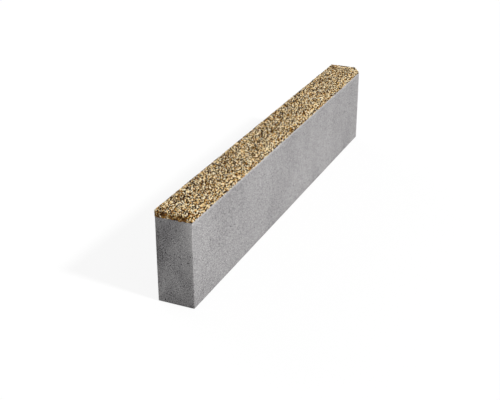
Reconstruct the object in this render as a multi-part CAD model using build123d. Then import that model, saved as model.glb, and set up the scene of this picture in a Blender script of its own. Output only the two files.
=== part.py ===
"""Straight concrete kerb stone, pressed in one mould from two mixes of concrete.

The grey body makes up most of the height. A facing layer of coloured stone chips covers the top,
and the front top edge is chamfered through the whole facing, so the seam between the two mixes
runs along the foot of the chamfer.

Millimetres. X runs along the kerb, Y from its front to its back, and Z up.
The origin is at the middle of the bed, the face that the kerb stands on.
"""

import os

from build123d import *

# Overall size
length = 1000.0
width = 80.0
height = 200.0

# Facing layer and the chamfer that is cut through it
facing_thickness = 14.0
chamfer_width = 11.0

# Easing of the edges, as the mould and the pressing plate leave them
nose_radius = 8.0  # where the top turns down into the chamfer
lip_radius = 2.5  # where the chamfer meets the front face
arris_radius = 1.5  # every other outer edge

# Places that follow from the sizes
front = -width / 2
back = width / 2
bed = 0.0
top = bed + height
seam = top - facing_thickness


def kerb_section():
    """The section across the kerb, seen along X, with its five corners eased."""
    bed_front = (front, bed)
    bed_back = (back, bed)
    top_back = (back, top)
    nose = (front + chamfer_width, top)
    lip = (front, seam)
    outline = Polyline(bed_front, bed_back, top_back, nose, lip, close=True)
    section = make_face(Plane.YZ * outline)
    corner_radii = {
        bed_front: arris_radius,
        bed_back: arris_radius,
        top_back: arris_radius,
        nose: nose_radius,
        lip: lip_radius,
    }
    for (y, z), radius in corner_radii.items():
        corner = section.vertices().sort_by_distance((0, y, z))[0]
        section = fillet(corner, radius)
    return section


def pressed_kerb():
    """The whole kerb before the two mixes are told apart, with its end edges eased."""
    kerb = extrude(kerb_section(), amount=length / 2, both=True)
    ends = kerb.faces().filter_by(Axis.X)
    return fillet(ends.edges(), arris_radius)


kerb = pressed_kerb()
seam_plane = Plane.XY.offset(seam)
concrete_body = split(kerb, bisect_by=seam_plane, keep=Keep.BOTTOM)
facing_layer = split(kerb, bisect_by=seam_plane, keep=Keep.TOP)

os.makedirs("parts", exist_ok=True)
export_step(concrete_body, "parts/concrete_body.step")
export_step(facing_layer, "parts/facing_layer.step")
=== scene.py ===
"""Looks of the concrete kerb stone: a pressed grey body under a facing of exposed stone chips.

Metres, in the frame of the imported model: X runs along the kerb, Y from its front to its back and
Z up, with the origin at the middle of the bed.
"""

import math

import bpy
import numpy as np
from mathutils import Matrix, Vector


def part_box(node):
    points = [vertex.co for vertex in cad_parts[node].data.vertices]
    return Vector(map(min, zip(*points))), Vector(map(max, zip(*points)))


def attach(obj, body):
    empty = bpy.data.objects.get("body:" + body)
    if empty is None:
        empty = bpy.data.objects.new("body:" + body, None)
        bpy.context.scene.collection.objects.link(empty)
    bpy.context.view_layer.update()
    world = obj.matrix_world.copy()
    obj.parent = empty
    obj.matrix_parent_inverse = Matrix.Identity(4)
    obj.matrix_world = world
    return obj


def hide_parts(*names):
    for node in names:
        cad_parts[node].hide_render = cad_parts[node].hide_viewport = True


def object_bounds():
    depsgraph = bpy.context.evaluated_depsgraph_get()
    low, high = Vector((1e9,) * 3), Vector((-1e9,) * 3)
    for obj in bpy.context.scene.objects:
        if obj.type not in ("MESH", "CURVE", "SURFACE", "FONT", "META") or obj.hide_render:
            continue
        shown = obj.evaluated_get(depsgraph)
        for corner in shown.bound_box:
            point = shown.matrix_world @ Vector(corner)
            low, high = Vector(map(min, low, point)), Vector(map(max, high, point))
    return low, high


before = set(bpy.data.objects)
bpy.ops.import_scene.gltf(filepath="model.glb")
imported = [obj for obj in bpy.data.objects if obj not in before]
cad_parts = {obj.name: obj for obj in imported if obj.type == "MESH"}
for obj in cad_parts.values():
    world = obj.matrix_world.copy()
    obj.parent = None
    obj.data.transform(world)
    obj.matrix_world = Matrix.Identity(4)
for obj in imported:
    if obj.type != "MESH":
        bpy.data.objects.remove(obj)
cad_low, cad_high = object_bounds()

mm = 0.001

# Places that the frame gives
body_low, body_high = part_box("concrete_body")
left_end, right_end = cad_low.x, cad_high.x
front, back = cad_low.y, cad_high.y
seam, top = body_high.z, cad_high.z

# Section of the kerb: its chamfer, and how its edges are eased
chamfer_width = 11 * mm
nose_radius = 8 * mm
arris_radius = 1.5 * mm
lip_radius = 2.5 * mm

# Mortar between the chips lies this far below the surface: washed out on top, and flush in the mould
washed_depth = 2.5 * mm
moulded_depth = 0.3 * mm

# Mortar reaches this far into the grey, below the seam
let_in = mm

# Steps in which an arris and the facing's nose are rounded over
arris_steps = 2
nose_steps = 4

# Edges longer than this run the whole length of the kerb, and places this near count as one
whole_length = 500 * mm
nearness = mm

chance = np.random.default_rng(20)


# Hand tools


def deselect_everything():
    """Leave edit mode and select nothing, so that the next operator acts on the next piece alone."""
    if bpy.context.mode != "OBJECT":
        bpy.ops.object.mode_set(mode="OBJECT")
    bpy.ops.object.select_all(action="DESELECT")


def box_piece(name, low, high):
    """A box between two corners, with its place in its mesh and its object at the origin."""
    deselect_everything()
    bpy.ops.mesh.primitive_cube_add(size=1, location=(low + high) / 2)
    piece = bpy.context.object
    piece.name = name
    piece.scale = high - low
    bpy.ops.object.transform_apply(location=True, rotation=True, scale=True)
    return piece


def vertex_places(piece):
    """The places of all vertices, one to a row."""
    places = np.empty(len(piece.data.vertices) * 3)
    piece.data.vertices.foreach_get("co", places)
    return places.reshape(-1, 3)


def edge_ends(piece):
    """The places of both ends of every edge."""
    pairs = np.empty(len(piece.data.edges) * 2, np.int32)
    piece.data.edges.foreach_get("vertices", pairs)
    places = vertex_places(piece)[pairs]
    return places[0::2], places[1::2]


def select_parts(piece, kind, wanted):
    """Enter edit mode with only the wanted vertices or edges selected."""
    bpy.ops.object.mode_set(mode="EDIT")
    bpy.ops.mesh.select_mode(type=kind)
    bpy.ops.mesh.select_all(action="DESELECT")
    bpy.ops.object.mode_set(mode="OBJECT")
    parts = piece.data.vertices if kind == "VERT" else piece.data.edges
    parts.foreach_set("select", wanted)
    bpy.ops.object.mode_set(mode="EDIT")


def ease_edges(piece, picked, radius, steps):
    """Round the picked edges over, in a few flat steps."""
    select_parts(piece, "EDGE", picked)
    bpy.ops.mesh.bevel(offset=radius, segments=steps, profile=0.5, affect="EDGES")
    bpy.ops.object.mode_set(mode="OBJECT")


# An edge runs along an axis where it strays from it by less than this share of its length
stray_share = 0.1


def cut_along(piece, axis, shortest, cuts):
    """Cut every edge that runs along an axis, and is long enough, into equal lengths."""
    starts, ends = edge_ends(piece)
    runs = np.abs(ends - starts)
    across = np.delete(runs, axis, axis=1).max(axis=1)
    straight = across < stray_share * runs[:, axis]
    select_parts(piece, "EDGE", straight & (runs[:, axis] > shortest))
    bpy.ops.mesh.subdivide(number_cuts=cuts)
    bpy.ops.object.mode_set(mode="OBJECT")


# Share of a rough surface's relief that lies below the true face
worn_share = 0.8


def roughen(piece, name, grain, height):
    """Wear the whole surface by cloudy noise of this grain and height, and keep the result."""
    clouds = bpy.data.textures.new(name, "CLOUDS")
    clouds.noise_scale = grain
    bpy.context.view_layer.objects.active = piece
    relief = piece.modifiers.new(name, "DISPLACE")
    relief.texture = clouds
    relief.texture_coords = "LOCAL"
    relief.strength = height
    relief.mid_level = worn_share
    bpy.ops.object.modifier_apply(modifier=name)


def chart_box(piece, low, high):
    """Map a boxy piece face by face: its six sides laid out flat in rows, at one scale and apart.

    Front and back lie in the first two rows, bed and top in the next two, and both ends in the last.
    """
    low, high = np.array(low), np.array(high)
    size = high - low
    gap = 8 * mm
    rows = np.cumsum([0, size[2] + gap, size[2] + gap, size[1] + gap, size[1] + gap])
    corners = [(0, rows[4]), (size[1] + gap, rows[4])] + [(0, row) for row in rows[:4]]
    mesh = piece.data
    places = vertex_places(piece)
    middles = np.empty(len(mesh.polygons) * 3)
    mesh.polygons.foreach_get("center", middles)
    middles = middles.reshape(-1, 3)
    sides = np.stack([middles - low, high - middles], axis=2).reshape(-1, 6).argmin(axis=1)
    loops = np.empty(len(mesh.loops), np.int32)
    mesh.loops.foreach_get("vertex_index", loops)
    counts = np.empty(len(mesh.polygons), np.int32)
    mesh.polygons.foreach_get("loop_total", counts)
    spots = places[loops] - low
    loop_sides = np.repeat(sides, counts)
    flat = np.empty((len(loops), 2))
    for side, corner in enumerate(corners):
        mine = loop_sides == side
        across, up = ((1, 2), (0, 2), (0, 1))[side // 2]
        flat[mine] = spots[mine][:, (across, up)] + corner
    whole = max(size[0], rows[4] + size[2]) + gap
    mesh.uv_layers.new(name="OFBake").uv.foreach_set("vector", ((flat + gap / 2) / whole).ravel())


# Grey concrete body


def rounded_block():
    """The body's block with its arrises eased, and the lip under the facing rounded more."""
    block = box_piece("grey_body", body_low, body_high)
    starts, ends = edge_ends(block)
    at_seam = np.minimum(starts[:, 2], ends[:, 2]) > seam - nearness
    ease_edges(block, ~at_seam, arris_radius, arris_steps)
    starts, ends = edge_ends(block)
    at_seam = np.minimum(starts[:, 2], ends[:, 2]) > seam - nearness
    in_front = np.maximum(starts[:, 1], ends[:, 1]) < front + nearness
    ease_edges(block, at_seam & in_front, lip_radius, arris_steps)
    return block


# Cuts across the block's faces: axis of the edges that are cut, the shortest such edge, and cuts in each
face_cuts = (
    (0, whole_length, 15),
    (0, 30 * mm, 15),
    (2, 100 * mm, 39),
    (1, 50 * mm, 15),
)

# Corners of the cells keep this far from a face's edges, and move about by this much at most
cell_margin = 3 * mm
cell_scatter = 1.1 * mm


def face_cells(block):
    """Cut the faces into cells of 4 to 5 mm, small enough for pores and a slightly uneven face."""
    for axis, shortest, cuts in face_cuts:
        cut_along(block, axis, shortest, cuts)


def distance_inside(places):
    """How far each place lies inside each of the block's six faces, in the order -X +X -Y +Y -Z +Z."""
    low, high = np.array(body_low), np.array(body_high)
    return np.stack([places - low, high - places], axis=2).reshape(-1, 6)


def scatter_cells(block):
    """Move the cells' corners about within their faces, so that nothing lines up in rows."""
    places = vertex_places(block)
    inside = distance_inside(places)
    on_face = np.sort(inside, axis=1)[:, 1] > cell_margin
    shift = chance.uniform(-cell_scatter, cell_scatter, places.shape)
    face_axis = inside.argmin(axis=1) // 2
    shift[np.arange(len(places)), face_axis] = 0
    places[on_face] += shift[on_face]
    block.data.vertices.foreach_set("co", places.ravel())


# Pores: radius, depth and share of all pores
pore_kinds = (
    (0.7 * mm, 0.9 * mm, 0.30),
    (1.0 * mm, 1.4 * mm, 0.36),
    (1.35 * mm, 1.9 * mm, 0.25),
    (1.75 * mm, 2.2 * mm, 0.09),
)
pore_spacing = 8 * mm

# Pores to a square metre of each face, in the order -X +X -Y +Y -Z +Z. The facing covers the last
pore_counts = (4400, 4400, 1600, 1600, 2600, 0)

# Nicks along the arrises: radius, depth and how many to a metre of arris
nick_kinds = (
    (0.8 * mm, 0.7 * mm, 14),
    (1.2 * mm, 1.1 * mm, 8),
)

# Pores are this near to one face and this far from all others, and nicks lie between these distances
# from both faces of an arris
pore_skin = 0.1 * mm
pore_margin = 5 * mm
nick_least, nick_most = 0.2 * mm, 0.8 * mm

# A hollow's rim: steps and roundness of its outline, and its slope inwards as a share of its radius
rim_steps = 2
rim_profile = 0.1
rim_slope_share = 0.35

# Relief of the grey faces: width and height of its long waves and of its grit, and the sharpest bend
# that is shaded smooth
wave_width, wave_height = 60 * mm, 0.35 * mm
grit_width, grit_height = 9 * mm, 0.2 * mm
smooth_bend = math.radians(38)


def apart(places, candidates, wanted, spacing):
    """Pick up to the wanted number of candidates at random, none nearer another than the spacing."""
    picked = []
    for i in chance.permutation(candidates):
        if len(picked) == wanted:
            break
        gaps = places[picked] - places[i]
        if not len(picked) or np.abs(gaps).max(axis=1).min() > spacing:
            picked.append(i)
    return np.array(picked, dtype=int)


def mark_hollows(block):
    """Mark the corners that become pores, and those on the arrises that become nicks."""
    places = vertex_places(block)
    inside = distance_inside(places)
    nearest = inside.argmin(axis=1)
    inside = np.sort(inside, axis=1)
    on_face = (inside[:, 0] < pore_skin) & (inside[:, 1] > pore_margin)
    size = body_high - body_low
    areas = np.repeat((size.y * size.z, size.z * size.x, size.x * size.y), 2)
    marks = np.zeros(len(places), dtype=np.int32)
    shares = [share for _, _, share in pore_kinds]
    for side, wanted in enumerate((areas * pore_counts).astype(int)):
        pores = apart(places, np.flatnonzero(on_face & (nearest == side)), wanted, pore_spacing)
        marks[pores] = 1 + chance.choice(len(pore_kinds), size=len(pores), p=shares)
    eased = (inside[:, 0] > nick_least) & (inside[:, 1] < nick_most)
    on_arris = np.flatnonzero(eased & (inside[:, 2] > pore_margin))
    arris_length = 4 * (size.x + size.y + size.z)
    for kind, (_, _, per_metre) in enumerate(nick_kinds):
        nicks = apart(places, on_arris, int(arris_length * per_metre), pore_spacing)
        marks[nicks] = 1 + len(pore_kinds) + kind
    block.data.attributes.new("hollow", "INT", "POINT").data.foreach_set("value", marks)


def sink_hollows(block):
    """Open each marked corner into a small round hole, and press its floor in."""
    # Mark the floors of the holes, where the grey material lays painted shade in pores and nicks
    block.data.attributes.new("painted_hollow_shade", "FLOAT", "POINT")
    kinds = [(radius, depth) for radius, depth, _ in pore_kinds + nick_kinds]
    for kind, (radius, depth) in enumerate(kinds, start=1):
        marks = np.empty(len(block.data.vertices), np.int32)
        block.data.attributes["hollow"].data.foreach_get("value", marks)
        select_parts(block, "VERT", marks == kind)
        bpy.ops.mesh.bevel(offset=radius, segments=rim_steps, profile=rim_profile, affect="VERTICES")
        bpy.ops.mesh.select_mode(type="FACE")
        bpy.ops.mesh.inset(thickness=rim_slope_share * radius, depth=-depth)
        bpy.ops.object.mode_set(mode="OBJECT")
        floors = np.empty(len(block.data.vertices), bool)
        block.data.vertices.foreach_get("select", floors)
        pores = np.empty(len(floors), np.float32)
        block.data.attributes["painted_hollow_shade"].data.foreach_get("value", pores)
        block.data.attributes["painted_hollow_shade"].data.foreach_set("value", np.where(floors, 1, pores))
    block.data.attributes.remove(block.data.attributes["hollow"])


def grey_body():
    """The whole body: block, cells, pores, nicks and a slightly uneven face."""
    block = rounded_block()
    face_cells(block)
    scatter_cells(block)
    mark_hollows(block)
    sink_hollows(block)
    roughen(block, "uneven_face", wave_width, wave_height)
    roughen(block, "gritty_face", grit_width, grit_height)
    bpy.ops.object.shade_smooth_by_angle(angle=smooth_bend)
    chart_box(block, body_low, body_high)
    return block


# Facing: the mortar bed that holds the chips

# Cuts across the bed's faces, as for the grey block, and then up its ends, its back and its chamfer
bed_cuts = (
    (0, whole_length, 19),
    (0, 30 * mm, 19),
    (1, 40 * mm, 29),
)
least_upright = 5 * mm
upright_cuts = 6

# Relief of the mortar: width and height of its grit
mortar_width, mortar_height = 3.5 * mm, 0.7 * mm


def facing_bed():
    """The facing's block with its chamfer and rounded nose, set in by the depth of the mortar."""
    low = Vector((left_end + moulded_depth, front, seam - let_in))
    high = Vector((right_end - moulded_depth, back - moulded_depth, top - washed_depth))
    bed = box_piece("mortar_bed", low, high)
    slope = Vector((0, -(top - seam), chamfer_width)).normalized()
    foot = Vector((0, front, seam)) - slope * washed_depth
    bpy.ops.object.mode_set(mode="EDIT")
    bpy.ops.mesh.select_all(action="SELECT")
    bpy.ops.mesh.bisect(plane_co=foot, plane_no=slope, use_fill=True, clear_outer=True)
    bpy.ops.object.mode_set(mode="OBJECT")
    starts, ends = edge_ends(bed)
    lengthwise = np.abs(ends - starts)[:, 0] > whole_length
    high_up = np.minimum(starts[:, 2], ends[:, 2]) > high.z - nearness
    nose = lengthwise & high_up & (starts[:, 1] < 0)
    ease_edges(bed, nose, nose_radius * math.tan(slope.angle(Vector((0, 0, 1))) / 2), nose_steps)
    for axis, shortest, cuts in bed_cuts:
        cut_along(bed, axis, shortest, cuts)
    starts, ends = edge_ends(bed)
    runs = np.abs(ends - starts)
    select_parts(bed, "EDGE", (runs[:, 2] > least_upright) & (runs[:, 0] < nearness))
    bpy.ops.mesh.subdivide(number_cuts=upright_cuts)
    bpy.ops.object.mode_set(mode="OBJECT")
    roughen(bed, "gritty_mortar", mortar_width, mortar_height)
    chart_box(bed, low, high)
    return bed


# Facing: the stone chips

# Crushed stone of about unit radius: how many shapes, the blank that each is cut from, and the height
# of its top. Then the least and the most of what differs from stone to stone: number of sides, lean of
# the top, reach and lean of a side, and a side's shift round the stone. Corners this near are one
chip_shapes = 16
blank_size = 1.7
top_height = 0.5
side_counts = (4, 6)
top_leans = (0, 0.2)
side_reaches = (0.72, 1.0)
side_leans = (1.0, 1.45)
side_shifts = (-0.35, 0.35)
corner_nearness = 0.2

# Chart of one stone: the sharpest bend within a patch, the room between patches, and the margin round it
chart_bend = math.radians(66)
chart_room = 0.05
chart_margin_share = 0.08

# Chips by size: largest and smallest radius, and throws to a square millimetre
washed_sizes = (
    (1.9 * mm, 1.5 * mm, 0.06),
    (1.6 * mm, 1.25 * mm, 0.6),
    (1.1 * mm, 0.85 * mm, 1.4),
    (0.85 * mm, 0.65 * mm, 2.2),
)
moulded_sizes = (
    (2.8 * mm, 2.0 * mm, 0.05),
    (2.0 * mm, 1.5 * mm, 0.6),
    (1.5 * mm, 1.0 * mm, 1.5),
    (1.0 * mm, 0.7 * mm, 3.0),
)
chip_overlap = 0.92

# Room that a chip's middle keeps, in radii: to the mould's walls, to the edges of an end, to the seam
# and to the line to which the facing mix has sunk
wall_room = 0.3
edge_room = 0.8
seam_room = 0.75
sunk_room = 0.5

# Points round the section's back arris and round its nose
arris_points = 9
nose_points = 13

# Chips that face upwards by less than this lie in the mould, and those above are washed clean
least_upward = 0.3

# Chips stand this far out of the mould's walls at most, reach this far into the mortar, and sink
# this far below the seam
most_proud = 0.35 * mm
root_depth = 3.4 * mm
deepest_dip = 2.2 * mm

# Line to which the facing mix has sunk: lengths of its waves, and its mean and its waves as shares of
# the deepest dip
dip_waves = (47 * mm, 23 * mm, 11 * mm)
mean_dip_share = 0.35
wave_dip_share = 0.3

# Copies of a chip: least and most stretch and thickness, spread of their tilt, and what counts as a root
chip_stretches = (1.0, 1.35)
chip_thicknesses = (0.8, 1.1)
chip_tilt = 0.2
root_level = -0.5

# Level of the chips' tops: mean, spread and lowest where they are washed clean, how much lower the
# smallest lie there, and the least that they stand out in the mould
washed_mean, washed_spread, washed_lowest = -0.1 * mm, 0.4 * mm, -1.0 * mm
small_drop = 0.3 * mm
least_proud = 0.08 * mm

# Chip families, the dark one first: shares among the chips washed clean, and on the moulded sides
chip_families = {
    "umber_chips": (0.29, 0.34),
    "ivory_chips": (0.25, 0.10),
    "cream_chips": (0.26, 0.25),
    "golden_chips": (0.12, 0.19),
    "ochre_chips": (0.06, 0.10),
    "dove_chips": (0.02, 0.02),
}

# On top the dark chips are well mixed in: the least radius of one, and the room between their middles
least_dark = 1.25 * mm
dark_spacing = 2.7 * mm

# On the moulded sides they gather in patches: lengths of the waves along a side and up it, and strength
patch_waves = (
    (41 * mm, 50 * mm),
    (19 * mm, -35 * mm),
)
patch_strength = 1.3


def stone_chip():
    """One crushed stone of about unit radius, flat on top: its corners, triangles and chart."""
    deselect_everything()
    bpy.ops.mesh.primitive_cube_add(size=blank_size)
    chip = bpy.context.object
    bpy.ops.object.mode_set(mode="EDIT")
    sides = int(chance.integers(*side_counts, endpoint=True))
    turns = np.linspace(0, 2 * math.pi, sides, endpoint=False) + chance.uniform(*side_shifts, sides)
    cuts = [(top_height, chance.uniform(*top_leans), chance.uniform(0, 2 * math.pi))]
    for turn in turns:
        cuts.append((chance.uniform(*side_reaches), chance.uniform(*side_leans), turn))
    for reach, lean, turn in cuts:
        sideways = math.sin(lean)
        normal = Vector((sideways * math.cos(turn), sideways * math.sin(turn), math.cos(lean)))
        bpy.ops.mesh.select_all(action="SELECT")
        bpy.ops.mesh.bisect(plane_co=normal * reach, plane_no=normal, use_fill=True, clear_outer=True)
    bpy.ops.mesh.select_all(action="SELECT")
    bpy.ops.mesh.remove_doubles(threshold=corner_nearness)
    bpy.ops.mesh.quads_convert_to_tris()
    bpy.ops.mesh.normals_make_consistent(inside=False)
    bpy.ops.uv.smart_project(angle_limit=chart_bend, island_margin=chart_room)
    bpy.ops.object.mode_set(mode="OBJECT")
    corners = vertex_places(chip)
    triangles = np.array([face.vertices for face in chip.data.polygons])
    chart = np.empty(len(chip.data.loops) * 2)
    chip.data.uv_layers.active.uv.foreach_get("vector", chart)
    bpy.data.objects.remove(chip)
    return corners, triangles, chart.reshape(-1, 3, 2)


def section_line():
    """Points round the facing's section from below the back seam, over the top, to the front seam.

    Gives Y, Z and the direction that each point faces, as an angle that is 0 towards the back and a
    quarter turn upwards.
    """
    slope = math.atan2(top - seam, chamfer_width)
    nose_start = front + chamfer_width + nose_radius * math.tan(slope / 2)
    rise = np.linspace(0, math.pi / 2, arris_points)
    fall = np.linspace(math.pi / 2, math.pi / 2 + slope, nose_points)
    y = np.concatenate((
        [back],
        back - arris_radius + arris_radius * np.cos(rise),
        nose_start + nose_radius * np.cos(fall),
        [front],
    ))
    z = np.concatenate((
        [seam - deepest_dip],
        top - arris_radius + arris_radius * np.sin(rise),
        top - nose_radius + nose_radius * np.sin(fall),
        [seam],
    ))
    facing = np.concatenate(([0], rise, fall, [fall[-1]]))
    return y, z, facing


def throw_chips(length, width, sizes, side_room, far_room):
    """Fill a flat strip with chips, the large ones first. Gives their places on it and their radii.

    The near side of the strip is at the seam. Its two ends and its far side get rooms of their own.
    """
    cell = 2 * sizes[0][0]
    held = {}
    for largest, smallest, throws in sizes:
        count = int(length * width / mm ** 2 * throws)
        radii = chance.uniform(smallest, largest, count)
        along = chance.uniform(side_room * radii, length - side_room * radii)
        across = chance.uniform(seam_room * radii, width - far_room * radii)
        for u, v, r in zip(along.tolist(), across.tolist(), radii.tolist()):
            column, row = int(u / cell), int(v / cell)
            near = [
                chip
                for i in (column - 1, column, column + 1)
                for j in (row - 1, row, row + 1)
                for chip in held.get((i, j), ())
            ]
            if all((u - a) ** 2 + (v - b) ** 2 > (chip_overlap * (r + q)) ** 2 for a, b, q in near):
                held.setdefault((column, row), []).append((u, v, r))
    return np.array([chip for chips in held.values() for chip in chips]).T


def sunk_seam(along):
    """Height of the wavy line, below the seam, to which the facing mix has sunk into the grey."""
    waves = sum(
        np.sin(2 * math.pi * along / length + chance.uniform(0, 2 * math.pi))
        for length in dip_waves
    )
    return seam - deepest_dip * np.clip(mean_dip_share + wave_dip_share * waves, 0, 1)


def chips_over_top():
    """Chips on the back strip, the top and the chamfer: place, outward direction, radius and side."""
    y, z, facing = section_line()
    run = np.concatenate(([0], np.cumsum(np.hypot(np.diff(y), np.diff(z)))))
    length = right_end - left_end
    along, across, radius = throw_chips(length, run[-1], washed_sizes, wall_room, seam_room)
    place = np.stack((left_end + along, np.interp(across, run, y), np.interp(across, run, z)), axis=1)
    angle = np.interp(across, run, facing)
    outward = np.stack((np.zeros_like(angle), np.cos(angle), np.sin(angle)), axis=1)
    moulded = outward[:, 2] < least_upward
    above = ~moulded | (place[:, 2] - sunk_room * radius > sunk_seam(place[:, 0]))
    return place[above], outward[above], radius[above], moulded[above]


def chips_on_end(end, direction):
    """Chips on the facing's strip of one end."""
    height = top - seam + deepest_dip
    across, up, radius = throw_chips(back - front, height, moulded_sizes, edge_room, edge_room)
    y, z = front + across, seam - deepest_dip + up
    slant = math.hypot(chamfer_width, top - seam)
    room = ((y - front) * (top - seam) - (z - seam) * chamfer_width) / slant
    inside = (room > edge_room * radius) & (z - sunk_room * radius > sunk_seam(y))
    place = np.stack((np.full_like(y, end), y, z), axis=1)[inside]
    outward = np.tile((direction, 0.0, 0.0), (len(place), 1))
    return place, outward, radius[inside], np.ones(len(place), dtype=bool)


def turned_about(axis, angle):
    """Rotation matrices, one for each angle, about X, Y or Z."""
    a, b = [i for i in range(3) if i != axis]
    turn = np.zeros((len(angle), 3, 3))
    turn[:, axis, axis] = 1
    turn[:, a, a] = turn[:, b, b] = np.cos(angle)
    turn[:, a, b] = -np.sin(angle)
    turn[:, b, a] = np.sin(angle)
    return turn


def hold_in_mould(places, proud):
    """Press back to the mould's walls whatever stands out of them further than its chip may."""
    x, y, z = places[..., 0], places[..., 1], places[..., 2]
    proud = proud[:, None]
    x[:] = np.clip(x, left_end - proud, right_end + proud)
    y[:] = np.clip(y, front - proud, back + proud)
    z[:] = np.minimum(z, top + proud)
    slope = np.array((-(top - seam), chamfer_width)) / math.hypot(chamfer_width, top - seam)
    out = np.maximum((y - front) * slope[0] + (z - seam) * slope[1] - proud, 0)
    y -= out * slope[0]
    z -= out * slope[1]


def set_chips(shape, place, outward, radius, moulded):
    """Copies of one chip shape, stretched, turned, tilted, pressed to their levels and well rooted."""
    count = len(place)
    stretch = chance.uniform(*chip_stretches, count)
    thickness = chance.uniform(*chip_thicknesses, count)
    size = radius[:, None] * np.stack((stretch, 1 / stretch, thickness), axis=1)
    corners = shape[None] * size[:, None]
    nod = turned_about(0, chance.normal(0, chip_tilt, count))
    lean = nod @ turned_about(1, chance.normal(0, chip_tilt, count))
    spin = turned_about(2, chance.uniform(0, 2 * math.pi, count))
    corners = corners @ (spin @ lean).transpose(0, 2, 1)
    washed_level = np.clip(chance.normal(washed_mean, washed_spread, count), washed_lowest, most_proud)
    washed_level -= small_drop * (radius < washed_sizes[-1][0])
    moulded_level = chance.uniform(least_proud, most_proud, count)
    level = np.where(moulded, moulded_level, washed_level)
    corners[:, :, 2] += (level - corners[:, :, 2].max(axis=1))[:, None]
    roots = shape[:, 2] < root_level
    corners[:, roots, 2] = np.minimum(corners[:, roots, 2], -root_depth)
    endwise = np.abs(outward[:, :1]) > 0.5
    sideways = np.where(endwise, (0.0, 1.0, 0.0), (1.0, 0.0, 0.0))
    basis = np.stack((sideways, np.cross(outward, sideways), outward), axis=1)
    placed = place[:, None] + corners @ basis
    held = np.clip(placed[:, roots, 0], left_end + let_in, right_end - let_in)
    placed[:, roots, 0] = np.where(endwise, placed[:, roots, 0], held)
    hold_in_mould(placed, np.maximum(level, moulded_level))
    return placed


def dark_patches(place):
    """From -1 to 1: where dark chips gather on the moulded sides, and where they are few."""
    along, up = place[:, 0] + place[:, 1], place[:, 2]
    waves = [np.sin(2 * math.pi * (along / length + up / height)) for length, height in patch_waves]
    return sum(waves) / len(waves)


def mixed_families(place, radius, moulded):
    """The number of each chip's family. Dark chips keep apart on top, and gather in patches elsewhere."""
    washed_shares, moulded_shares = np.cumsum(list(chip_families.values()), axis=0).T
    least_draw = 0.0001
    draw = chance.uniform(least_draw, 1 - least_draw, len(place))
    washed_draw = washed_shares[0] + (1 - washed_shares[0]) * draw
    dark_share = moulded_shares[0] * (1 + patch_strength * dark_patches(place))
    moulded_draw = moulded_shares[0] + (1 - moulded_shares[0]) * (draw - dark_share) / (1 - dark_share)
    family = np.where(
        moulded,
        np.searchsorted(moulded_shares, moulded_draw),
        np.searchsorted(washed_shares, washed_draw),
    )
    wanted = int(washed_shares[0] * np.count_nonzero(~moulded))
    large_enough = np.flatnonzero(~moulded & (radius > least_dark))
    family[apart(place, large_enough, wanted, dark_spacing)] = 0
    return family


def chip_charts(charts):
    """The map of all chips of a piece: a square grid, with one chip's own chart in each cell."""
    total = sum(len(chart) for chart in charts)
    across = math.ceil(math.sqrt(total))
    filled_share = 1 - 2 * chart_margin_share
    squares = []
    done = 0
    for chart in charts:
        number = done + np.arange(len(chart))
        cell = np.stack((number % across, number // across), axis=1)
        square = cell[:, None, None] + chart_margin_share + filled_share * chart
        squares.append((square / across).reshape(-1, 2))
        done += len(chart)
    return np.concatenate(squares)


def chip_piece(name, parts):
    """One mesh of many chips. A part is the corners, triangles, chart and tones of one shape's copies."""
    corners, triangles, charts, tones = [], [], [], []
    first = 0
    for placed, faces, chart, tone in parts:
        count, each = placed.shape[:2]
        starts = first + each * np.arange(count)
        corners.append(placed.reshape(-1, 3))
        triangles.append((faces[None] + starts[:, None, None]).reshape(-1, 3))
        charts.append(np.repeat(chart[None], count, axis=0))
        tones.append(np.repeat(tone, each))
        first += count * each
    corners, triangles = np.concatenate(corners), np.concatenate(triangles)
    mesh = bpy.data.meshes.new(name)
    mesh.vertices.add(len(corners))
    mesh.vertices.foreach_set("co", corners.ravel())
    mesh.loops.add(triangles.size)
    mesh.loops.foreach_set("vertex_index", triangles.ravel())
    mesh.polygons.add(len(triangles))
    mesh.polygons.foreach_set("loop_start", np.arange(0, triangles.size, 3))
    mesh.update(calc_edges=True)
    mesh.attributes.new("tone", "FLOAT", "POINT").data.foreach_set("value", np.concatenate(tones))
    mesh.uv_layers.new(name="OFBake").uv.foreach_set("vector", chip_charts(charts).ravel())
    piece = bpy.data.objects.new(name, mesh)
    bpy.context.scene.collection.objects.link(piece)
    return piece


def stone_chips():
    """All the chips of the facing, as one piece for each colour family."""
    shapes = [stone_chip() for _ in range(chip_shapes)]
    strips = [chips_over_top(), chips_on_end(left_end, -1.0), chips_on_end(right_end, 1.0)]
    place, outward, radius, moulded = (np.concatenate(parts) for parts in zip(*strips))
    family = mixed_families(place, radius, moulded)
    kind = chance.integers(0, chip_shapes, len(place))
    tone = chance.uniform(0, 1, len(place))
    pieces = {}
    for number, name in enumerate(chip_families):
        parts = []
        for k, (corners, triangles, chart) in enumerate(shapes):
            mine = (family == number) & (kind == k)
            placed = set_chips(corners, place[mine], outward[mine], radius[mine], moulded[mine])
            parts.append((placed, triangles, chart, tone[mine]))
        pieces[name] = chip_piece(name, parts)
    return pieces


# Materials

# Gloss of dull stone and mortar, and the middle of every tone
dull_gloss = 0.08
middle_tone = 0.5


def paint(red, green, blue):
    """A colour as a paint chart gives it, 0 to 255, made linear for a shader."""
    parts = [value / 255 for value in (red, green, blue)]
    return (*[p / 12.92 if p <= 0.04045 else ((p + 0.055) / 1.055) ** 2.4 for p in parts], 1.0)


def join(tree, value, socket):
    """Link a value to a socket, or set it there where it is a plain number or colour."""
    if isinstance(value, bpy.types.NodeSocket):
        tree.links.new(value, socket)
    else:
        socket.default_value = value


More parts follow.
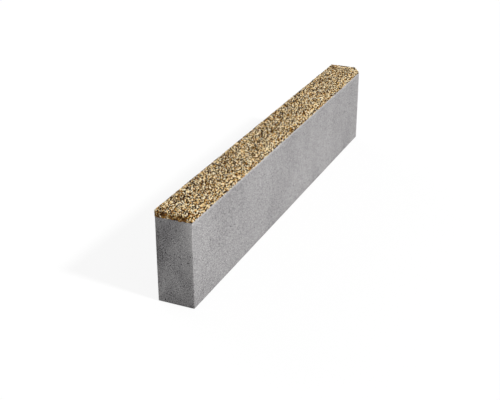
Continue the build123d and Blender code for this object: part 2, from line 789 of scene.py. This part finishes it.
def new_material(name, roughness):
    """A material with its shader and the object coordinates that its patterns follow."""
    material = bpy.data.materials.new(name)
    material.use_nodes = True
    tree = material.node_tree
    tree.nodes.clear()
    output = tree.nodes.new("ShaderNodeOutputMaterial")
    shader = tree.nodes.new("ShaderNodeBsdfPrincipled")
    shader.inputs["Roughness"].default_value = roughness
    shader.inputs["Specular IOR Level"].default_value = dull_gloss
    tree.links.new(shader.outputs["BSDF"], output.inputs["Surface"])
    where = tree.nodes.new("ShaderNodeTexCoord").outputs["Object"]
    return material, tree, shader, where


def new_group(name, takes, gives):
    """An empty group with named inputs and outputs. Gives it, its own inputs and its own outputs."""
    group = bpy.data.node_groups.new(name, "ShaderNodeTree")
    for socket, kind in takes.items():
        group.interface.new_socket(socket, in_out="INPUT", socket_type=kind)
    for socket, kind in gives.items():
        group.interface.new_socket(socket, in_out="OUTPUT", socket_type=kind)
    return group, group.nodes.new("NodeGroupInput").outputs, group.nodes.new("NodeGroupOutput").inputs


def add_group(tree, group, **inputs):
    """A group placed in a material with its own values."""
    node = tree.nodes.new("ShaderNodeGroup")
    node.node_tree = group
    for name, value in inputs.items():
        join(tree, value, node.inputs[name])
    return node.outputs


def add_maths(tree, operation, *values):
    """One sum of values, any of which may be a plain number."""
    maths = tree.nodes.new("ShaderNodeMath")
    maths.operation = operation
    for socket, value in zip(maths.inputs, values):
        join(tree, value, socket)
    return maths.outputs["Value"]


def add_total(tree, *shares):
    """The sum of several values, each with its weight."""
    total = 0.0
    for value, weight in shares:
        total = add_maths(tree, "MULTIPLY_ADD", value, weight, total)
    return total


def add_noise(tree, where, scale, detail=2.0, roughness=0.5, stretch=None):
    """Cloudy noise of so many grains to the metre, drawn out along an axis if asked."""
    if stretch is not None:
        mapping = tree.nodes.new("ShaderNodeMapping")
        mapping.inputs["Scale"].default_value = stretch
        tree.links.new(where, mapping.inputs["Vector"])
        where = mapping.outputs["Vector"]
    noise = tree.nodes.new("ShaderNodeTexNoise")
    noise.inputs["Detail"].default_value = detail
    noise.inputs["Roughness"].default_value = roughness
    join(tree, scale, noise.inputs["Scale"])
    tree.links.new(where, noise.inputs["Vector"])
    return noise.outputs["Fac"]


def add_contrast(tree, value):
    """How far a value lies above or below the middle."""
    return add_maths(tree, "SUBTRACT", value, middle_tone)


def add_cells(tree, where, scale):
    """Scattered grains: the distance to the middle of the nearest, and two numbers of its own."""
    cells = tree.nodes.new("ShaderNodeTexVoronoi")
    join(tree, scale, cells.inputs["Scale"])
    tree.links.new(where, cells.inputs["Vector"])
    split = tree.nodes.new("ShaderNodeSeparateColor")
    tree.links.new(cells.outputs["Color"], split.inputs["Color"])
    return cells.outputs["Distance"], split.outputs["Red"], split.outputs["Green"]


def add_ramp(tree, value, stops):
    """Colours by value. Each stop is a place and a colour."""
    ramp = tree.nodes.new("ShaderNodeValToRGB")
    elements = ramp.color_ramp.elements
    while len(elements) < len(stops):
        elements.new(0.5)
    for element, (place, colour) in zip(elements, stops):
        element.position = place
        element.color = colour
    tree.links.new(value, ramp.inputs["Fac"])
    return ramp.outputs["Color"]


def add_range(tree, value, low, high, new_low, new_high):
    """A value moved from one range to another, and held inside it."""
    change = tree.nodes.new("ShaderNodeMapRange")
    limits = {"From Min": low, "From Max": high, "To Min": new_low, "To Max": new_high}
    for name, number in limits.items():
        change.inputs[name].default_value = number
    tree.links.new(value, change.inputs["Value"])
    return change.outputs["Result"]


def add_mix(tree, amount, first, second):
    """Two colours mixed by an amount."""
    mix = tree.nodes.new("ShaderNodeMix")
    mix.data_type = "RGBA"
    tree.links.new(amount, mix.inputs[0])
    tree.links.new(first, mix.inputs[6])
    tree.links.new(second, mix.inputs[7])
    return mix.outputs[2]


def add_bump(tree, shader, height, strength, distance):
    """Relief finer than the mesh."""
    bump = tree.nodes.new("ShaderNodeBump")
    bump.inputs["Strength"].default_value = strength
    bump.inputs["Distance"].default_value = distance
    tree.links.new(height, bump.inputs["Height"])
    tree.links.new(bump.outputs["Normal"], shader.inputs["Normal"])


# Coarse and fine sand: how many times the stated count of grains, and the strength of their own tones
sand_kinds = (
    (1.0, 0.5),
    (2.6, 0.7),
)

# Grains of sand: height, raggedness of the outline, spread of sizes, and the distances from its middle
# at which a grain is whole and gone
grain_height = 0.4
grain_ragged = 0.35
grain_spread = 0.3
grain_whole, grain_gone = -0.25, 0.05

# Cement between the grains: strength of its mottling, and its height
cement_strength = 1.5
cement_height = 0.8


def sand_group():
    """Sand in a mix: coarse and fine grains with tones of their own, standing out of mottled cement."""
    takes = {"Vector": "NodeSocketVector", "Grains": "NodeSocketFloat"}
    gives = {"Tone": "NodeSocketFloat", "Height": "NodeSocketFloat"}
    group, entry, result = new_group("sand", takes, gives)
    cement = add_noise(group, entry["Vector"], entry["Grains"], detail=4, roughness=0.75)
    tones = [(cement, cement_strength), (1.0, middle_tone * (1 - cement_strength))]
    heights = [(cement, cement_height)]
    for fineness, weight in sand_kinds:
        count = add_maths(group, "MULTIPLY", entry["Grains"], fineness)
        distance, own, other = add_cells(group, entry["Vector"], count)
        ragged = add_maths(group, "MULTIPLY_ADD", cement, -grain_ragged, distance)
        outline = add_maths(group, "MULTIPLY_ADD", other, -grain_spread, ragged)
        grain = add_range(group, outline, grain_whole, grain_gone, 1, 0)
        tones.append((add_maths(group, "MULTIPLY", add_contrast(group, own), grain), weight))
        heights.append((grain, grain_height * weight))
    join(group, add_total(group, *tones), result["Tone"])
    join(group, add_total(group, *heights), result["Height"])
    return group


def mineral_group():
    """Minerals in a crushed stone: the chip's own tone with finer crystals in it."""
    takes = {"Vector": "NodeSocketVector", "Tone": "NodeSocketFloat", "Crystals": "NodeSocketFloat"}
    gives = {"Tone": "NodeSocketFloat", "Height": "NodeSocketFloat"}
    group, entry, result = new_group("minerals", takes, gives)
    crystal = add_noise(group, entry["Vector"], entry["Crystals"], roughness=0.6)
    fleck = add_range(group, crystal, 0.3, 0.7, -0.3, 0.3)
    join(group, add_maths(group, "ADD", entry["Tone"], fleck), result["Tone"])
    join(group, crystal, result["Height"])
    return group


# Mortar skin of the facing, as the mould leaves it: place on the ramp and colour
skin_stops = (
    (0.30, paint(74, 48, 22)),
    (0.50, paint(142, 102, 54)),
    (0.75, paint(200, 160, 104)),
)


def sunk_facing(tree, where, along):
    """1 where the facing mix has sunk below the seam, in a wavy line along the ends and the back."""
    waves = add_noise(tree, where, 110, detail=3, roughness=0.6, stretch=(1.0, 1.0, 0.0))
    dip = add_range(tree, waves, 0.42, 0.62, 0, deepest_dip)
    height = add_maths(tree, "SUBTRACT", along.outputs["Z"], seam)
    sunk = add_range(tree, add_maths(tree, "ADD", height, dip), 0, 0.3 * mm, 0, 1)
    behind = add_range(tree, along.outputs["Y"], front + 3 * mm, front + 4 * mm, 0, 1)
    return add_maths(tree, "MULTIPLY", sunk, behind)


# Pressed grey concrete: place on the ramp and colour
grey_stops = (
    (0.1, paint(70, 68, 69)),
    (0.5, paint(162, 160, 161)),
    (0.8, paint(214, 212, 211)),
)

# Strength of each mark in the grey: on the long faces and on the ends, and then of those alike on both.
# The foot's is painted shade towards the bottom, the lip's a painted highlight just under the facing,
# and the pore's painted shade in the floors of pores and nicks
grain_strengths = (1.2, 1.7)
stain_strengths = (0.2, 1.15)
painted_foot_shade_strengths = (-0.02, -0.1)
painted_lip_highlight_strengths = (0.08, 0.0)
drag_strength = 0.03
painted_hollow_shade_strength = -0.4


def grey_concrete(sand):
    """Pressed grey concrete: sandy grain, coarser on the ends, soft stains and marks of the mould.

    Painted shade darkens it towards the bottom and in the floors of pores and nicks, and a painted
    highlight lightens a band just under the facing.
    """
    material, tree, shader, where = new_material("grey_concrete", 0.9)
    along = tree.nodes.new("ShaderNodeSeparateXYZ")
    tree.links.new(where, along.inputs["Vector"])
    reach = add_maths(tree, "ABSOLUTE", along.outputs["X"])
    on_end = add_range(tree, reach, right_end - 2 * mm, right_end - mm, 0, 1)
    grain = add_group(tree, sand, Vector=where, Grains=560.0)
    stain = add_noise(tree, where, 12, detail=4, stretch=(1.0, 1.0, 0.6))
    drag = add_noise(tree, where, 80, stretch=(1.0, 1.0, 0.1))
    # Painted shade: the grey darker towards the bottom, most on the ends
    foot = add_range(tree, along.outputs["Z"], 0, 90 * mm, 1, 0)
    # Painted highlight: a lighter band just under the facing, on the long faces only
    lip = add_range(tree, along.outputs["Z"], seam - 6 * mm, seam - 3 * mm, 0, 1)
    # Painted shade in the floors of pores and nicks
    painted_hollow_shade = tree.nodes.new("ShaderNodeAttribute")
    painted_hollow_shade.attribute_name = "painted_hollow_shade"
    tone = add_total(
        tree,
        (add_contrast(tree, grain["Tone"]), add_range(tree, on_end, 0, 1, *grain_strengths)),
        (add_contrast(tree, stain), add_range(tree, on_end, 0, 1, *stain_strengths)),
        (add_contrast(tree, drag), drag_strength),
        (foot, add_range(tree, on_end, 0, 1, *painted_foot_shade_strengths)),
        (lip, add_range(tree, on_end, 0, 1, *painted_lip_highlight_strengths)),
        (painted_hollow_shade.outputs["Fac"], painted_hollow_shade_strength),
    )
    grey = add_ramp(tree, add_maths(tree, "ADD", tone, middle_tone), grey_stops)
    skin = add_ramp(tree, grain["Tone"], skin_stops)
    colour = add_mix(tree, sunk_facing(tree, where, along), grey, skin)
    tree.links.new(colour, shader.inputs["Base Color"])
    add_bump(tree, shader, grain["Height"], 0.4, 0.5 * mm)
    return material


# Mortar washed back between the chips, its brown darkened with painted shade where it lies deep between
# them: place on the ramp and colour
dark_mortar_and_shade_stops = (
    (0.30, paint(30, 16, 5)),
    (0.50, paint(56, 33, 11)),
    (0.75, paint(104, 66, 26)),
)


def brown_mortar(sand):
    """Sandy mortar: brown with painted shade where it is washed back between the chips, and a tan skin in
    the mould.
    """
    material, tree, shader, where = new_material("brown_mortar", 0.9)
    along = tree.nodes.new("ShaderNodeSeparateXYZ")
    tree.links.new(where, along.inputs["Vector"])
    reach = add_maths(tree, "ABSOLUTE", along.outputs["X"])
    on_end = add_range(tree, reach, right_end - 1.5 * mm, right_end - mm, 0, 1)
    on_back = add_range(tree, along.outputs["Y"], back - 1.5 * mm, back - mm, 0, 1)
    grain = add_group(tree, sand, Vector=where, Grains=800.0)
    # The washed mortar's colours hold painted shade between the chips
    washed = add_ramp(tree, grain["Tone"], dark_mortar_and_shade_stops)
    skin = add_ramp(tree, grain["Tone"], skin_stops)
    colour = add_mix(tree, add_maths(tree, "MAXIMUM", on_end, on_back), washed, skin)
    tree.links.new(colour, shader.inputs["Base Color"])
    add_bump(tree, shader, grain["Height"], 0.6, 0.5 * mm)
    return material


# Chip colours: from the palest to the darkest stone of each family
chip_colours = {
    "ivory_chips": (paint(253, 243, 216), paint(243, 225, 184)),
    "cream_chips": (paint(248, 225, 176), paint(228, 195, 135)),
    "golden_chips": (paint(208, 162, 86), paint(162, 112, 44)),
    "ochre_chips": (paint(182, 124, 54), paint(112, 70, 28)),
    "umber_chips": (paint(66, 36, 10), paint(18, 8, 1)),
    "dove_chips": (paint(166, 146, 128), paint(108, 94, 82)),
}


def chip_stone(name, minerals, pale, dark):
    """Crushed stone: each chip has its own tone, with fine crystals in it."""
    material, tree, shader, where = new_material(name, 0.65)
    tone = tree.nodes.new("ShaderNodeAttribute")
    tone.attribute_name = "tone"
    stone = add_group(tree, minerals, Vector=where, Tone=tone.outputs["Fac"], Crystals=1500.0)
    colour = add_ramp(tree, stone["Tone"], ((0.0, dark), (1.0, pale)))
    tree.links.new(colour, shader.inputs["Base Color"])
    add_bump(tree, shader, stone["Height"], 0.35, 0.3 * mm)
    return material


# Pieces

sand = sand_group()
minerals = mineral_group()

body = grey_body()
body.data.materials.append(grey_concrete(sand))
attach(body, "root")
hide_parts("concrete_body")

bed = facing_bed()
bed.data.materials.append(brown_mortar(sand))
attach(bed, "root")
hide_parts("facing_layer")

for name, chips in stone_chips().items():
    chips.data.materials.append(chip_stone(name, minerals, *chip_colours[name]))
    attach(chips, "root")
    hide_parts("facing_layer")


# Floor, light and camera

# Floor: how far below the bed, how far under the kerb's edges and how far out it reaches, its grey as
# light meets it, and the share of plain white in what the camera sees
floor_drop = 0.5 * mm
floor_rim = 3 * mm
floor_reach = 20.0
floor_grey = 0.34
white_share = 0.86

# Light from all round, and the lamps: the direction that each shines in, its strength and its spread
sky_strength = 0.45
lamps = {
    "front_lamp": ((0.08, 0.775, -0.63), 2.65, math.radians(6)),
    "back_lamp": ((-0.5, -0.8, -0.25), 1.1, math.radians(40)),
}

# Camera: its place, the heading and dip of its view, and its lens on a sensor of this width
camera_place = (-1.929, -0.7898, 0.9935)
camera_heading = math.radians(23.86)
camera_dip = math.radians(25.23)
camera_lens = 69.65
camera_sensor = 36


def seen_directly(tree):
    """1 for what the camera sees, also in reflections and through glass, and 0 for light itself."""
    path = tree.nodes.new("ShaderNodeLightPath")
    seen = add_maths(tree, "MAXIMUM", path.outputs["Is Camera Ray"], path.outputs["Is Glossy Ray"])
    return add_maths(tree, "MAXIMUM", seen, path.outputs["Is Transmission Ray"])


def pale_floor():
    """A wide floor that shows white to the camera, with the kerb's soft shadow, and clear from below.

    It is open under the kerb, so that light from below reaches the bed.
    """
    deselect_everything()
    bpy.ops.mesh.primitive_plane_add(size=1, location=(0, 0, -floor_drop))
    floor = bpy.context.object
    floor.name = "floor"
    size = body_high - body_low
    floor.scale = [side + 2 * (floor_reach - floor_rim) for side in size]
    bpy.ops.object.transform_apply(location=True, rotation=True, scale=True)
    bpy.ops.object.mode_set(mode="EDIT")
    bpy.ops.mesh.select_all(action="SELECT")
    bpy.ops.mesh.inset(thickness=floor_reach)
    bpy.ops.mesh.delete(type="FACE")
    bpy.ops.object.mode_set(mode="OBJECT")
    material = bpy.data.materials.new("pale_floor")
    material.use_nodes = True
    tree = material.node_tree
    tree.nodes.clear()
    output = tree.nodes.new("ShaderNodeOutputMaterial")
    matt = tree.nodes.new("ShaderNodeBsdfDiffuse")
    white = tree.nodes.new("ShaderNodeEmission")
    lit = tree.nodes.new("ShaderNodeMixShader")
    clear = tree.nodes.new("ShaderNodeBsdfTransparent")
    sides = tree.nodes.new("ShaderNodeMixShader")
    seen = seen_directly(tree)
    shade = add_range(tree, seen, 0, 1, floor_grey, 1)
    tree.links.new(shade, matt.inputs["Color"])
    tree.links.new(add_maths(tree, "MULTIPLY", seen, white_share), lit.inputs["Fac"])
    tree.links.new(matt.outputs["BSDF"], lit.inputs[1])
    tree.links.new(white.outputs["Emission"], lit.inputs[2])
    tree.links.new(tree.nodes.new("ShaderNodeNewGeometry").outputs["Backfacing"], sides.inputs["Fac"])
    tree.links.new(lit.outputs["Shader"], sides.inputs[1])
    tree.links.new(clear.outputs["BSDF"], sides.inputs[2])
    tree.links.new(sides.outputs["Shader"], output.inputs["Surface"])
    floor.data.materials.append(material)


def add_sun(name, towards, strength, spread):
    """A broad distant lamp that shines in one direction."""
    bpy.ops.object.light_add(type="SUN")
    lamp = bpy.context.object
    lamp.name = name
    lamp.rotation_euler = Vector(towards).to_track_quat("-Z", "Y").to_euler()
    lamp.data.energy = strength
    lamp.data.angle = spread


def studio_light():
    """Even light from all round, a main lamp in front and above, and a weak one behind."""
    world = bpy.data.worlds.new("studio")
    bpy.context.scene.world = world
    world.use_nodes = True
    tree = world.node_tree
    tree.nodes.clear()
    output = tree.nodes.new("ShaderNodeOutputWorld")
    sky = tree.nodes.new("ShaderNodeBackground")
    sky.inputs["Color"].default_value = (1.0, 1.0, 1.0, 1.0)
    tree.links.new(add_range(tree, seen_directly(tree), 0, 1, sky_strength, 1), sky.inputs["Strength"])
    tree.links.new(sky.outputs["Background"], output.inputs["Surface"])
    for name, (towards, strength, spread) in lamps.items():
        add_sun(name, towards, strength, spread)


def photo_camera():
    """The camera looks along the kerb from its left end, from in front and above."""
    bpy.ops.object.camera_add(location=camera_place)
    camera = bpy.context.object
    level = math.cos(camera_dip)
    ahead = Vector((
        level * math.cos(camera_heading),
        level * math.sin(camera_heading),
        -math.sin(camera_dip),
    ))
    camera.rotation_euler = ahead.to_track_quat("-Z", "Y").to_euler()
    camera.data.sensor_width = camera_sensor
    camera.data.lens = camera_lens
    bpy.context.scene.camera = camera


pale_floor()
studio_light()
photo_camera()
bpy.context.scene.view_settings.view_transform = "Standard"
